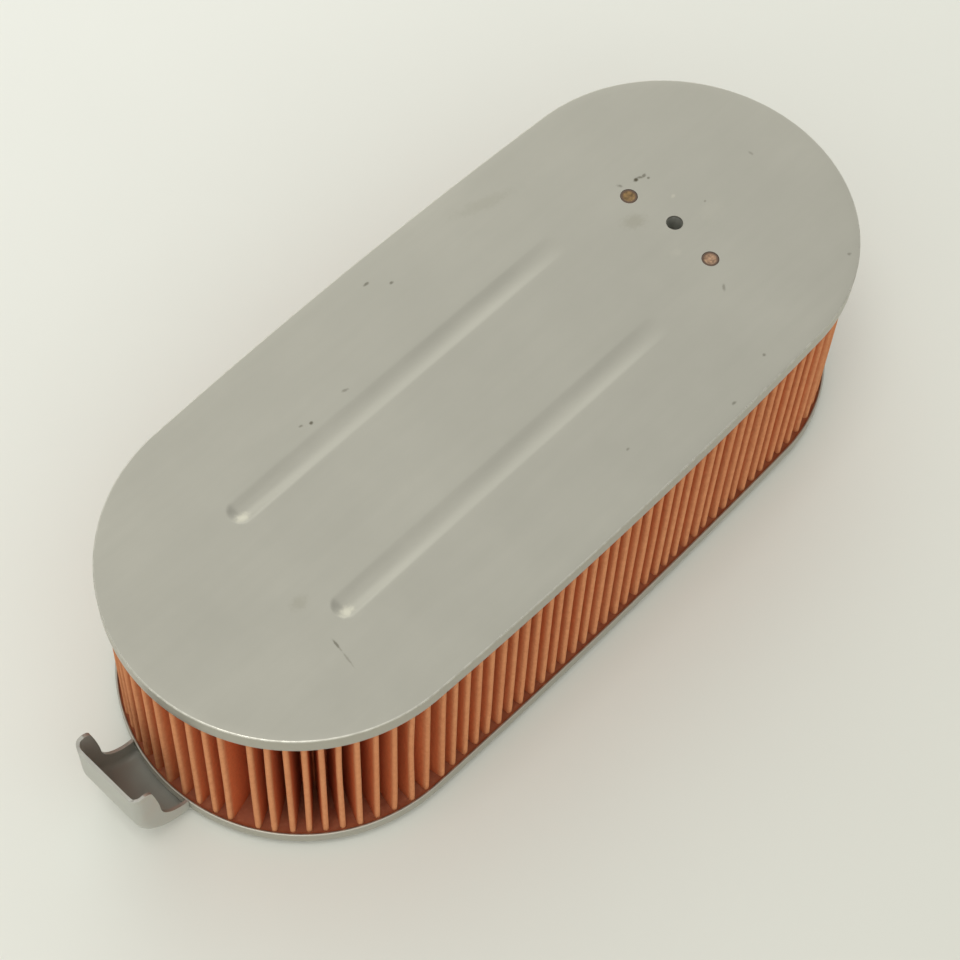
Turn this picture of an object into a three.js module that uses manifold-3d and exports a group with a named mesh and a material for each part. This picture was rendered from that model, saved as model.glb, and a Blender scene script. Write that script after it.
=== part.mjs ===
// Oval pleated-paper air filter element for a motorcycle, in millimetres, +Z up.
// The long axis is X: the bolt-hole end points to +X and the latch tab to -X.
// The origin is the bottom centre of the whole part's bounding box.
import * as THREE from 'three';
import { mergeVertices } from 'three/addons/utils/BufferGeometryUtils.js';
import Module from 'manifold-3d';

const wasm = await Module();
wasm.setup();

// ---------------------------------------------------------------- driving dimensions
// An oval has two end arcs, centred halfStraight from its middle, joined by sides that bow outwards.
const TOP_OVAL = { halfStraight: 78.4, radius: 56, bow: 1.74 };
const BOTTOM_OVAL = { halfStraight: 78.3, radius: 57.0, bow: 1.2 };
const PAPER_OVAL = { halfStraight: 78.5, radius: 54.7, bow: 1.0 };

const HEIGHT = 74;                  // gasket face to top face
const SHEET = 0.8;                  // thickness of both pressed plates
const FIT_GAP = 0.3;                // gap kept between neighbouring pieces
const BEND = 1.4;                   // outside bend radius of the pressed edges
const TOP_RIM = 6.0;                // depth of the top plate's turned-down rim
const PLATE_UNDERSIDE = 2.0;        // height of the bottom plate's lower face
const BOTTOM_LIP = 5.5;             // height of the bottom plate's turned-up lip
const COLLAR = 5.0;                 // height of the collar round the outlet
const OUTLET_RADIUS = 34;           // end radius of the oval outlet opening

const PLEAT_COUNT = 132;            // outward folds of the paper
const SEAM_PITCH = 8.5;             // wide fold where the two ends of the paper lap
const SEAM_PLACE = 26;              // distance of the seam from the tab end, round the edge
const PLEAT_DEPTH = 16.5;
const PAPER_WALL = 0.6;
const FOLD_WIDTH = 2.0;             // width of an outward fold's flat tip
const VALLEY_WIDTH = 1.2;

const SCREEN_RADIUS = 37.9;         // end radius of the screen inside the pleats
const SCREEN_WALL = 0.6;
const TOP_BED_DEPTH = 2.0;          // adhesive under the top plate
const BOTTOM_BED_DEPTH = 3.2;       // adhesive on the bottom plate, nearly up to its lip
const GASKET = { inner: 36.5, outer: 44.5, height: PLATE_UNDERSIDE - FIT_GAP };

const GROOVE = { start: -84.8, end: 50.4, halfWidth: 3.9, depth: 1.3 };
const GROOVE_SIDES = [20.6, -20.3]; // distance of each stiffening groove from the long axis

const BOLT_HOLE = { x: 78.9, y: 0.6, radius: 2.6 };
const FLANGE_WELD = { x: 76.5, spread: 16.3, radius: 2.65 };
const FLANGE = { thickness: 1.2, lugRadius: 6.5, waistRadius: 10, hole: 3.4 };
const SLEEVE = { outer: 4.6, inner: 3.1 };

// The tab is a channel pressed from sheet. Its floor runs under the bottom plate, then bends up
// into an end wall. Its flanges make the side walls and the ears.
const TAB = {
  offset: 3.7,                      // sideways shift of the tab from the long axis
  width: 26.2,
  sheet: 1.0,
  cornerRadius: 3.0,                // outside radius between floor and flanges
  reach: 151.7,                     // outer face of the end wall from the plates' middle
  tongueEnd: 125.5,                 // inner end of the tongue under the bottom plate
  bendStart: 131.5,                 // where the floor begins to curve up
  bendTop: 20.0,                    // where the curve becomes an upright wall
  floor: 0.5,                       // height of the tongue's lower face
  wallTop: 34.2,                    // top of the end wall between the ears
  earRise: 1.8,                     // how much higher the ears are
  flange: 7.7,                      // flange height along the floor and the bend
  earFlange: 5.4,                   // flange height at the top of the ears
};
const EAR_START = 0.7;              // share of the half width where the end wall starts to rise
const CORNER_STEPS = 4;
const TAB_WELD = { x: 129.4, spread: 6, radius: 2.5 };

const ARC_STEPS = 26;               // steps of one end arc
const SIDE_STEPS = 6;               // steps of one long side

const TOP_UNDERSIDE = HEIGHT - SHEET;
const PLATE_FLOOR = PLATE_UNDERSIDE + SHEET;
const BOTTOM_REACH = BOTTOM_OVAL.halfStraight + BOTTOM_OVAL.radius;
const PLATE_CENTRE_X = (TAB.reach - BOTTOM_REACH) / 2;   // centres the box on the origin

// ---------------------------------------------------------------- materials
const steel = (color, roughness) => new THREE.MeshStandardMaterial({ color, roughness, metalness: 0.9 });
const dull = (color, roughness) => new THREE.MeshStandardMaterial({ color, roughness, metalness: 0 });

const group = new THREE.Group();
group.position.x = PLATE_CENTRE_X;

function addPiece(name, geometry, material) {
  const mesh = new THREE.Mesh(geometry, material);
  mesh.name = name;
  group.add(mesh);
}

// ---------------------------------------------------------------- oval curves
// Centre distance, radius and tilt of the shallow arcs that make an oval's long sides.
function sideArc({ halfStraight, radius, bow }) {
  const drop = (halfStraight ** 2 - bow ** 2) / (2 * bow);
  return { drop, radius: radius + Math.hypot(halfStraight, drop), tilt: Math.atan2(halfStraight, drop) };
}

// Points { x, y, angle } round an oval grown by outset, anticlockwise seen from above: -X end arc,
// long side, +X end arc, long side. The angle is the direction of the outward normal.
function ovalTurn(oval, outset = 0, arcSteps = ARC_STEPS, sideSteps = SIDE_STEPS) {
  const side = sideArc(oval);
  const endHalf = Math.PI / 2 - side.tilt;
  const points = [];
  const arc = (cx, cy, radius, from, to, steps) => {
    for (let i = 0; i < steps; i++) {
      const angle = from + (to - from) * i / steps;
      points.push({ x: cx + radius * Math.cos(angle), y: cy + radius * Math.sin(angle), angle });
    }
  };
  const endRadius = oval.radius + outset;
  const sideRadius = side.radius + outset;
  arc(-oval.halfStraight, 0, endRadius, Math.PI - endHalf, Math.PI + endHalf, arcSteps);
  arc(0, side.drop, sideRadius, Math.PI + endHalf, 2 * Math.PI - endHalf, sideSteps);
  arc(oval.halfStraight, 0, endRadius, -endHalf, endHalf, arcSteps);
  arc(0, -side.drop, sideRadius, endHalf, Math.PI - endHalf, sideSteps);
  return points;
}

// ---------------------------------------------------------------- solids
function indexedGeometry(positions, indices) {
  const geometry = new THREE.BufferGeometry();
  geometry.setAttribute('position', new THREE.Float32BufferAttribute(positions, 3));
  geometry.setIndex(indices);
  return geometry;
}

// Carries a section, a list of [outset, z], round an oval. A closed section makes a ring.
// An open one makes a dish: its first and last loops are closed by flat faces.
function sweepOval(oval, section, closed) {
  const loops = section.map(([outset, z]) => ovalTurn(oval, outset).map(({ x, y }) => [x, y, z]));
  const count = loops[0].length;
  const positions = loops.flat(2);
  const indices = [];
  const bands = closed ? loops.length : loops.length - 1;
  for (let band = 0; band < bands; band++) {
    const near = band * count;
    const far = ((band + 1) % loops.length) * count;
    for (let i = 0; i < count; i++) {
      const next = (i + 1) % count;
      indices.push(near + i, far + i, far + next, near + i, far + next, near + next);
    }
  }
  if (!closed) {
    const first = positions.length / 3;
    positions.push(0, 0, section[0][1], 0, 0, section.at(-1)[1]);
    const lastLoop = (loops.length - 1) * count;
    for (let i = 0; i < count; i++) {
      const next = (i + 1) % count;
      indices.push(first, i, next, first + 1, lastLoop + next, lastLoop + i);
    }
  }
  return indexedGeometry(positions, indices);
}

// Rectangular ring round an oval, between two end radii and two heights.
function ovalRing(oval, inner, outer, bottom, top) {
  const near = inner - oval.radius;
  const far = outer - oval.radius;
  return sweepOval(oval, [[far, top], [far, bottom], [near, bottom], [near, top]], true);
}

function extrudeUp(shape, bottom, top) {
  const options = { depth: top - bottom, bevelEnabled: false, curveSegments: 12 };
  return new THREE.ExtrudeGeometry(shape, options).translate(0, 0, bottom);
}

function upright(radius, bottom, top, x, y, segments = 24) {
  const geometry = new THREE.CylinderGeometry(radius, radius, top - bottom, segments);
  return geometry.rotateX(Math.PI / 2).translate(x, y, (top + bottom) / 2);
}

function toSolid(geometry) {
  const bare = geometry.clone();
  bare.deleteAttribute('normal');
  bare.deleteAttribute('uv');
  const merged = mergeVertices(bare, 1e-4);
  const mesh = new wasm.Mesh({
    numProp: 3,
    vertProperties: merged.attributes.position.array,
    triVerts: Uint32Array.from(merged.index.array),
  });
  return new wasm.Manifold(mesh);
}

function toGeometry(solid) {
  const mesh = solid.getMesh();
  return indexedGeometry(mesh.vertProperties, Array.from(mesh.triVerts));
}

// ---------------------------------------------------------------- top plate
// A pan with a rounded, turned-down rim, two pressed grooves, the bolt hole and two weld holes.
function grooveCapsule(side, margin) {
  const radius = GROOVE.halfWidth + margin;
  const length = GROOVE.end - GROOVE.start - 2 * GROOVE.halfWidth;
  const capsule = new THREE.CapsuleGeometry(radius, length, 5, 16);
  capsule.rotateZ(Math.PI / 2);
  capsule.scale(1, 1, (GROOVE.depth + margin) / radius);
  return capsule.translate((GROOVE.start + GROOVE.end) / 2, side, HEIGHT);
}

function topPlate() {
  const section = [
    [-BEND, HEIGHT],
    [-0.41 * BEND, HEIGHT - 0.12 * BEND],
    [-0.12 * BEND, HEIGHT - 0.41 * BEND],
    [0, HEIGHT - BEND],
    [0, HEIGHT - TOP_RIM],
    [-SHEET, HEIGHT - TOP_RIM],
    [-SHEET, HEIGHT - BEND],
    [-BEND, TOP_UNDERSIDE],
  ];
  let plate = toSolid(sweepOval(TOP_OVAL, section, false));
  const belowFace = toSolid(new THREE.BoxGeometry(400, 200, 20).translate(0, 0, HEIGHT - SHEET / 2 - 10));
  for (const side of GROOVE_SIDES) {
    const trough = toSolid(grooveCapsule(side, SHEET)).intersect(belowFace);
    plate = plate.add(trough).subtract(toSolid(grooveCapsule(side, 0)));
  }
  const bottom = TOP_UNDERSIDE - 1;
  const top = HEIGHT + 1;
  plate = plate.subtract(toSolid(upright(BOLT_HOLE.radius, bottom, top, BOLT_HOLE.x, BOLT_HOLE.y)));
  for (const y of flangeWeldPlaces()) {
    plate = plate.subtract(toSolid(upright(FLANGE_WELD.radius + FIT_GAP, bottom, top, FLANGE_WELD.x, y)));
  }
  return toGeometry(plate);
}

// ---------------------------------------------------------------- bottom plate
// An oval ring with a turned-up outer lip and a collar round the outlet.
function bottomPlate() {
  const z = PLATE_UNDERSIDE;
  const inside = OUTLET_RADIUS - BOTTOM_OVAL.radius;
  const fillet = 0.6;
  const section = [
    [0, z + BOTTOM_LIP],
    [0, z + BEND],
    [-0.3 * BEND, z + 0.3 * BEND],
    [-BEND, z],
    [inside + BEND, z],
    [inside, z + BEND],
    [inside, z + COLLAR],
    [inside + SHEET, z + COLLAR],
    [inside + SHEET, PLATE_FLOOR + fillet],
    [inside + SHEET + fillet, PLATE_FLOOR],
    [-SHEET - fillet, PLATE_FLOOR],
    [-SHEET, PLATE_FLOOR + fillet],
    [-SHEET, z + BOTTOM_LIP],
  ];
  let plate = toSolid(sweepOval(BOTTOM_OVAL, section, true));
  for (const y of tabWeldPlaces()) {
    plate = plate.subtract(toSolid(upright(TAB_WELD.radius + FIT_GAP, z - 1, z + 2, -TAB_WELD.x, y)));
  }
  return toGeometry(plate);
}

// ---------------------------------------------------------------- pleated paper
// Measures distance round an oval and returns the point and normal there.
function ovalRuler(oval) {
  const fine = ovalTurn(oval, 0, 400, 200);
  const start = fine.findIndex(({ angle }) => angle >= Math.PI);
  const loop = [...fine.slice(start), ...fine.slice(0, start + 1)];
  const marks = [0];
  for (let i = 1; i < loop.length; i++) {
    marks.push(marks[i - 1] + Math.hypot(loop[i].x - loop[i - 1].x, loop[i].y - loop[i - 1].y));
  }
  const length = marks.at(-1);
  const at = (distance, depth) => {
    const wrapped = ((distance % length) + length) % length;
    const i = Math.max(1, marks.findIndex((mark) => mark >= wrapped));
    const part = (wrapped - marks[i - 1]) / (marks[i] - marks[i - 1]);
    const x = loop[i - 1].x + part * (loop[i].x - loop[i - 1].x);
    const y = loop[i - 1].y + part * (loop[i].y - loop[i - 1].y);
    let turn = loop[i].angle - loop[i - 1].angle;
    turn = Math.atan2(Math.sin(turn), Math.cos(turn));
    const angle = loop[i - 1].angle + part * turn;
    return new THREE.Vector2(x - depth * Math.cos(angle), y - depth * Math.sin(angle));
  };
  return { length, at };
}

function filterPaper(bottom, top) {
  const ruler = ovalRuler(PAPER_OVAL);
  const pitch = (ruler.length - SEAM_PITCH) / (PLEAT_COUNT - 1);
  const outside = [];
  const inside = [];
  for (let i = 0; i < PLEAT_COUNT; i++) {
    const fold = SEAM_PLACE + SEAM_PITCH / 2 + i * pitch;
    const valley = fold + (i < PLEAT_COUNT - 1 ? pitch : SEAM_PITCH) / 2;
    const outerHalf = FOLD_WIDTH / 2;
    const innerHalf = VALLEY_WIDTH / 2 + PAPER_WALL;
    outside.push(ruler.at(fold - outerHalf, 0), ruler.at(fold + outerHalf, 0));
    outside.push(ruler.at(valley - VALLEY_WIDTH / 2, PLEAT_DEPTH - PAPER_WALL));
    outside.push(ruler.at(valley + VALLEY_WIDTH / 2, PLEAT_DEPTH - PAPER_WALL));
    inside.push(ruler.at(fold - outerHalf + PAPER_WALL, PAPER_WALL));
    inside.push(ruler.at(fold + outerHalf - PAPER_WALL, PAPER_WALL));
    inside.push(ruler.at(valley - innerHalf, PLEAT_DEPTH));
    inside.push(ruler.at(valley + innerHalf, PLEAT_DEPTH));
  }
  const shape = new THREE.Shape(outside);
  shape.holes.push(new THREE.Path(inside));
  return extrudeUp(shape, bottom, top);
}

// ---------------------------------------------------------------- bolt flange and sleeve
function flangeWeldPlaces() {
  return [BOLT_HOLE.y + FLANGE_WELD.spread, BOLT_HOLE.y - FLANGE_WELD.spread];
}

// A lozenge plate under the top plate, held by two spot welds, with the bolt's sleeve below it.
function sleeveFlange(bottom, top) {
  const { x, spread, radius } = FLANGE_WELD;
  const { lugRadius, waistRadius, hole } = FLANGE;
  const [left, right] = flangeWeldPlaces();
  const lean = Math.asin((waistRadius - lugRadius) / spread);
  const shape = new THREE.Shape();
  shape.absarc(x, left, lugRadius, lean, Math.PI - lean, false);
  shape.absarc(BOLT_HOLE.x, BOLT_HOLE.y, waistRadius, Math.PI - lean, Math.PI + lean, false);
  shape.absarc(x, right, lugRadius, Math.PI + lean, 2 * Math.PI - lean, false);
  shape.absarc(BOLT_HOLE.x, BOLT_HOLE.y, waistRadius, -lean, lean, false);
  const circle = (cx, cy, r) => new THREE.Path().absarc(cx, cy, r, 0, 2 * Math.PI, true);
  shape.holes.push(circle(BOLT_HOLE.x, BOLT_HOLE.y, hole));
  shape.holes.push(circle(x, left, radius + FIT_GAP), circle(x, right, radius + FIT_GAP));
  return extrudeUp(shape, bottom, top);
}

function boltSleeve(bottom, top) {
  const { inner, outer } = SLEEVE;
  const profile = [[inner, bottom], [outer, bottom], [outer, top], [inner, top], [inner, bottom]];
  const tube = new THREE.LatheGeometry(profile.map(([r, z]) => new THREE.Vector2(r, z)), 28);
  return tube.rotateX(Math.PI / 2).translate(BOLT_HOLE.x, BOLT_HOLE.y, 0);
}

// ---------------------------------------------------------------- latch tab
function tabWeldPlaces() {
  return [TAB.offset - TAB_WELD.spread, TAB.offset + TAB_WELD.spread];
}

// Stations along the outside of the channel's middle line: { x, z, nx, nz, flange, wall },
// where (nx, nz) points into the channel and wall goes from 0 to 1 up the end wall.
function tabStations() {
  const { bendStart, bendTop, floor, reach, tongueEnd, wallTop, flange, earFlange } = TAB;
  const rx = reach - bendStart;
  const rz = bendTop - floor;
  const stations = [];
  for (const x of [-tongueEnd, -(tongueEnd + bendStart) / 2]) {
    stations.push({ x, z: floor, nx: 0, nz: 1, flange, wall: 0 });
  }
  const bendSteps = 14;
  for (let i = 0; i <= bendSteps; i++) {
    const turn = i / bendSteps * Math.PI / 2;
    const slope = Math.hypot(Math.sin(turn) / rx, Math.cos(turn) / rz);
    stations.push({
      x: -bendStart - rx * Math.sin(turn),
      z: bendTop - rz * Math.cos(turn),
      nx: Math.sin(turn) / rx / slope,
      nz: Math.cos(turn) / rz / slope,
      flange,
      wall: 0,
    });
  }
  const wallSteps = 6;
  for (let i = 1; i <= wallSteps; i++) {
    const wall = i / wallSteps;
    const height = flange + (earFlange - flange) * wall ** 1.5;
    stations.push({ x: -reach, z: bendTop + (wallTop - bendTop) * wall, nx: 1, nz: 0, flange: height, wall });
  }
  return stations;
}

// Section outline of the channel, inset from its outside, from one flange tip to the other:
// each point is [across, depth].
function channelPath(inset, flange) {
  const half = TAB.width / 2 - inset;
  const radius = TAB.cornerRadius - inset;
  const right = [];
  for (let i = 0; i <= CORNER_STEPS; i++) {
    const turn = i / CORNER_STEPS * Math.PI / 2;
    right.push([half - radius + radius * Math.sin(turn), inset + radius * (1 - Math.cos(turn))]);
  }
  right.push([half, flange]);
  const left = right.map(([across, depth]) => [-across, depth]).reverse();
  return [...left, ...right];
}

function latchTab() {
  const loops = tabStations().map(({ x, z, nx, nz, flange, wall }) => {
    const section = [...channelPath(0, flange), ...channelPath(TAB.sheet, flange).reverse()];
    return section.map(([across, depth]) => {
      const side = (Math.abs(across) * 2 / TAB.width - EAR_START) / (1 - EAR_START);
      const rise = TAB.earRise * wall * THREE.MathUtils.smoothstep(side, 0, 1);
      return [x + nx * depth, TAB.offset + across, z + nz * depth + rise];
    });
  });
  const count = loops[0].length;
  const last = (loops.length - 1) * count;
  const indices = [];
  const quad = (a, b, c, d) => indices.push(a, c, b, a, d, c);
  for (let near = 0; near < last; near += count) {
    for (let i = 0; i < count; i++) {
      const next = (i + 1) % count;
      quad(near + i, near + next, near + count + next, near + count + i);
    }
  }
  for (let i = 0; i < count / 2 - 1; i++) {
    const opposite = count - 1 - i;
    quad(i, opposite, opposite - 1, i + 1);
    quad(last + i, last + i + 1, last + opposite - 1, last + opposite);
  }
  let tab = toSolid(indexedGeometry(loops.flat(2), indices));

  // the flanges stop short of the bottom plate's lip, and only the tongue runs under it
  const underPlate = PLATE_UNDERSIDE - FIT_GAP;
  const lipSpace = [[FIT_GAP, HEIGHT], [FIT_GAP, underPlate], [-20, underPlate], [-20, HEIGHT]];
  tab = tab.subtract(toSolid(sweepOval(BOTTOM_OVAL, lipSpace, true)));
  for (const y of tabWeldPlaces()) {
    tab = tab.subtract(toSolid(upright(TAB_WELD.radius + FIT_GAP, -1, PLATE_FLOOR, -TAB_WELD.x, y)));
  }
  return toGeometry(tab);
}

// ---------------------------------------------------------------- assembly
const bottomAdhesiveBase = PLATE_FLOOR + FIT_GAP;
const bottomAdhesiveTop = bottomAdhesiveBase + BOTTOM_BED_DEPTH;
const topAdhesiveTop = TOP_UNDERSIDE - FIT_GAP;
const topAdhesiveBase = topAdhesiveTop - TOP_BED_DEPTH;
const flangeTop = TOP_UNDERSIDE - FIT_GAP;
const flangeBottom = flangeTop - FLANGE.thickness;

function adhesiveBed(bottom, top) {
  return ovalRing(PAPER_OVAL, SCREEN_RADIUS + FIT_GAP, PAPER_OVAL.radius, bottom, top);
}

const screenInner = SCREEN_RADIUS - SCREEN_WALL;
const screen = ovalRing(PAPER_OVAL, screenInner, SCREEN_RADIUS, bottomAdhesiveBase, topAdhesiveTop);
const paper = filterPaper(bottomAdhesiveTop + FIT_GAP, topAdhesiveBase - FIT_GAP);
const gasket = ovalRing(BOTTOM_OVAL, GASKET.inner, GASKET.outer, 0, GASKET.height);

addPiece('top_plate', topPlate(), steel(0xb2aea0, 0.42));
addPiece('bottom_plate', bottomPlate(), steel(0xb2aea0, 0.42));
addPiece('filter_paper', paper, dull(0xb0683f, 0.9));
addPiece('inner_screen', screen, steel(0x9a9890, 0.5));
addPiece('top_adhesive', adhesiveBed(topAdhesiveBase, topAdhesiveTop), dull(0x8e4a2c, 0.6));
addPiece('bottom_adhesive', adhesiveBed(bottomAdhesiveBase, bottomAdhesiveTop), dull(0x8e4a2c, 0.6));
addPiece('base_gasket', gasket, dull(0x26262a, 0.85));
addPiece('sleeve_flange', sleeveFlange(flangeBottom, flangeTop), steel(0x9c988c, 0.45));
addPiece('bolt_sleeve', boltSleeve(PLATE_UNDERSIDE, flangeBottom - FIT_GAP), steel(0x9c988c, 0.45));
addPiece('latch_tab', latchTab(), steel(0x8f8a7e, 0.35));
flangeWeldPlaces().forEach((y, i) => {
  const nugget = upright(FLANGE_WELD.radius, flangeBottom, HEIGHT - 0.15, FLANGE_WELD.x, y);
  addPiece(i === 0 ? 'flange_weld_left' : 'flange_weld_right', nugget, steel(0x7a5a3c, 0.5));
});
tabWeldPlaces().forEach((y, i) => {
  const nugget = upright(TAB_WELD.radius, TAB.floor + 0.15, PLATE_FLOOR, -TAB_WELD.x, y);
  addPiece(`tab_weld_${i + 1}`, nugget, steel(0x7a5a3c, 0.5));
});

export default group;
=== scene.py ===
import math

import bmesh
import bpy
import numpy as np
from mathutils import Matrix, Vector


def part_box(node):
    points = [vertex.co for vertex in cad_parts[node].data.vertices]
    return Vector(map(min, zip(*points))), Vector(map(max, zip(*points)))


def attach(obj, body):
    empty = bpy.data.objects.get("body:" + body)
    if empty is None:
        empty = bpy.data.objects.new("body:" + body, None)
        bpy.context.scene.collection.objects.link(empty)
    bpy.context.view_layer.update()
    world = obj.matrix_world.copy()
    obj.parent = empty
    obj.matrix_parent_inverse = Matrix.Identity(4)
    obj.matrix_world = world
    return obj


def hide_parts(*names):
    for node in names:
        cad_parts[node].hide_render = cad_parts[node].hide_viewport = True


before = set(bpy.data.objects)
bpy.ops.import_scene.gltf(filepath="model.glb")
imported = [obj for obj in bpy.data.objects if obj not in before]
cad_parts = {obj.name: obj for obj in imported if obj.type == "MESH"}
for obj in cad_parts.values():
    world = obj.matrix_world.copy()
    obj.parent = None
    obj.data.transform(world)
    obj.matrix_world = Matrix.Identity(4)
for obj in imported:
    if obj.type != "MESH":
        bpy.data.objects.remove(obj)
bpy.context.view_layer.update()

# ---------------------------------------------------------------- driving dimensions
MM = 0.001
plate_low, plate_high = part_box("top_plate")
base_low, base_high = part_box("bottom_plate")
gasket_low, gasket_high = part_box("base_gasket")
tab_low, tab_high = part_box("latch_tab")
sleeve_low, sleeve_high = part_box("bolt_sleeve")
weld_low, weld_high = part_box("flange_weld_left")

TOP = plate_high[2]                             # upper face of the top plate
PLATE_X = (plate_low[0] + plate_high[0]) / 2    # middle of both plates
HOLE_X = (sleeve_low[0] + sleeve_high[0]) / 2   # bolt hole and its sleeve
HOLE_Y = (sleeve_low[1] + sleeve_high[1]) / 2
WELD_X = (weld_low[0] + weld_high[0]) / 2
WELD_SPREAD = (weld_low[1] + weld_high[1]) / 2 - HOLE_Y
LIP_TOP = base_high[2]
BASE = base_low[2]                              # lower face of the bottom plate
TAB_MIDDLE = (tab_low[1] + tab_high[1]) / 2

SHEET = 0.8 * MM                                # both pressed plates
PLATE_FLOOR = BASE + SHEET                      # upper face of the bottom plate
TOP_RIM = 6.0 * MM                              # depth of the top plate's turned-down rim
BEND = 1.5 * MM                                 # outside radius of the bottom plate's bends
TOP_BEND = 0.45 * MM                            # outside radius of the top plate's edge
OUTLET_END = 34.0 * MM                          # end radius of the outlet opening
COLLAR = 5.0 * MM
HOLE_RADIUS = 2.6 * MM
WELD_RADIUS = 2.65 * MM

GROOVE_FROM = PLATE_X - 84.8 * MM
GROOVE_TO = PLATE_X + 50.4 * MM
GROOVE_SIDES = (20.6 * MM, -20.3 * MM)
GROOVE_HALF = 3.9 * MM
GROOVE_DEPTH = 0.5 * MM                         # along the middle
GROOVE_DEEPER = 0.75 * MM                       # added depth at the tab end

FOLDS = 132
PAPER_WALL = 0.6 * MM
TIP_RADIUS = 0.86 * MM                          # outside radius of an outward fold
VALLEY_RADIUS = 0.55 * MM
FOLD_DEPTH = 16.4 * MM
FLARE = 1.2 * MM                                # how much further out the folds stand at the bottom
SEAM_FROM = 21.5 * MM                           # the folds either side of the paper's wide seam
SEAM_TO = 30.0 * MM
BED_LEVEL = LIP_TOP - 1.2 * MM                  # surface of the adhesive inside the lip
BED_INNER = 38.2 * MM                           # end radius of the beds' inner wall
SCREEN_RADIUS = 37.9 * MM                       # end radius of the screen
SCREEN_WALL = 0.6 * MM
GASKET_INNER = 36.5 * MM
GASKET_OUTER = 44.5 * MM

TAB_SHEET = 1.0 * MM
TAB_CORNER = 2.8 * MM                           # outside radius between the floor and the flanges
TAB_BEND = 20.2 * MM                            # reach of the bend from the end wall
TAB_BEND_TOP = 20 * MM                          # where the curve becomes an upright wall
TAB_FLANGE = 7.7 * MM
TAB_FLANGE_LOSS = 2.1 * MM                      # lost by the top of the wall
EAR_RISE = 1.8 * MM
EAR_ROUND = 2.4 * MM                            # radius of the ears' upper corners

chance = np.random.default_rng(11)


# ---------------------------------------------------------------- oval curves
class Oval:
    """Two end arcs about (±half, 0), joined by shallow side arcs that bow outwards by bow.

    The side arcs have centres (0, ±drop) with drop = (half² - bow²) / (2 bow). Their radius is the
    end radius plus the distance between the centres, so all arcs meet on a shared tangent.
    """

    def __init__(self, half, radius, bow):
        drop = (half**2 - bow**2) / (2 * bow)
        tilt = math.atan2(half, drop)
        side_radius = radius + math.hypot(half, drop)
        end_turn = math.pi / 2 - tilt
        turns = np.array([end_turn, 2 * tilt, 2 * end_turn, 2 * tilt, end_turn])
        self.centres = np.array([(-half, 0), (0, drop), (half, 0), (0, -drop), (-half, 0)])
        self.radii = np.array([radius, side_radius, radius, side_radius, radius])
        self.angles = math.pi + np.concatenate([[0], np.cumsum(turns)])
        self.marks = np.concatenate([[0], np.cumsum(turns * self.radii)])
        self.length = self.marks[-1]
        self.radius = radius

    def at(self, distance, outset, z):
        """Point = arc centre + (arc radius + outset) (cos a, sin a), at height z.

        The distance runs round the oval from the -X apex towards -Y, and the angle a of the outward
        normal grows evenly with it along each arc.
        """
        distance, outset, z = np.broadcast_arrays(distance % self.length, outset, z)
        arc = np.clip(np.searchsorted(self.marks, distance, side="right") - 1, 0, 4)
        angle = np.interp(distance, self.marks, self.angles)
        reach = self.radii[arc] + outset
        x = PLATE_X + self.centres[arc, 0] + reach * np.cos(angle)
        y = self.centres[arc, 1] + reach * np.sin(angle)
        return np.stack([x, y, z], axis=-1)

    def even(self, count):
        """Distances that split the oval into equal steps."""
        return np.arange(count) * self.length / count


TOP_OVAL = Oval(78.4 * MM, 56.0 * MM, 1.74 * MM)
BASE_OVAL = Oval(78.3 * MM, 57.0 * MM, 1.2 * MM)
PAPER_OVAL = Oval(78.5 * MM, 54.7 * MM, 1.0 * MM)


# ---------------------------------------------------------------- mesh building
def grid_quads(rows, columns, closed_rows=False, closed_columns=False):
    """Quads that join each grid point to the next row and column, round to the first where closed."""
    row = np.arange(rows if closed_rows else rows - 1)
    column = np.arange(columns if closed_columns else columns - 1)
    row, column = np.meshgrid(row, column, indexing="ij")
    next_row = (row + 1) % rows
    next_column = (column + 1) % columns
    corners = [
        row * columns + column,
        next_row * columns + column,
        next_row * columns + next_column,
        row * columns + next_column,
    ]
    return np.stack(corners, axis=-1).reshape(-1, 4)


def new_object(name, points, quads):
    """A smooth-shaded object from whole arrays of points and quads."""
    mesh = bpy.data.meshes.new(name)
    points = np.asarray(points, dtype=np.float32).reshape(-1, 3)
    mesh.vertices.add(len(points))
    mesh.vertices.foreach_set("co", points.ravel())
    mesh.loops.add(quads.size)
    mesh.loops.foreach_set("vertex_index", quads.astype(np.int32).ravel())
    mesh.polygons.add(len(quads))
    mesh.polygons.foreach_set("loop_start", np.arange(0, quads.size, 4, dtype=np.int32))
    mesh.update(calc_edges=True)
    obj = bpy.data.objects.new(name, mesh)
    bpy.context.scene.collection.objects.link(obj)
    return obj


def close_seams(obj, reach=0.002 * MM):
    """Merges points that lie together and drops the faces that this flattens."""
    shell = bmesh.new()
    shell.from_mesh(obj.data)
    bmesh.ops.remove_doubles(shell, verts=shell.verts, dist=reach)
    bmesh.ops.dissolve_degenerate(shell, edges=shell.edges, dist=reach)
    shell.to_mesh(obj.data)
    shell.free()


def smooth(obj, sharp_above=38):
    """Smooth shading, with edges sharper than that many degrees left crisp."""
    mesh = obj.data
    mesh.polygons.foreach_set("use_smooth", np.ones(len(mesh.polygons), dtype=bool))
    mesh.set_sharp_from_angle(angle=math.radians(sharp_above))


def settle(obj):
    """Applies the object's modifiers to its mesh."""
    graph = bpy.context.evaluated_depsgraph_get()
    mesh = bpy.data.meshes.new_from_object(obj.evaluated_get(graph))
    obj.modifiers.clear()
    obj.data = mesh


def carve(obj, cutter):
    """Cuts the cutter's solid out of the object and removes the cutter."""
    cut = obj.modifiers.new("cut", "BOOLEAN")
    cut.operation = "DIFFERENCE"
    cut.solver = "EXACT"
    cut.object = cutter
    settle(obj)
    bpy.data.objects.remove(cutter)


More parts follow.
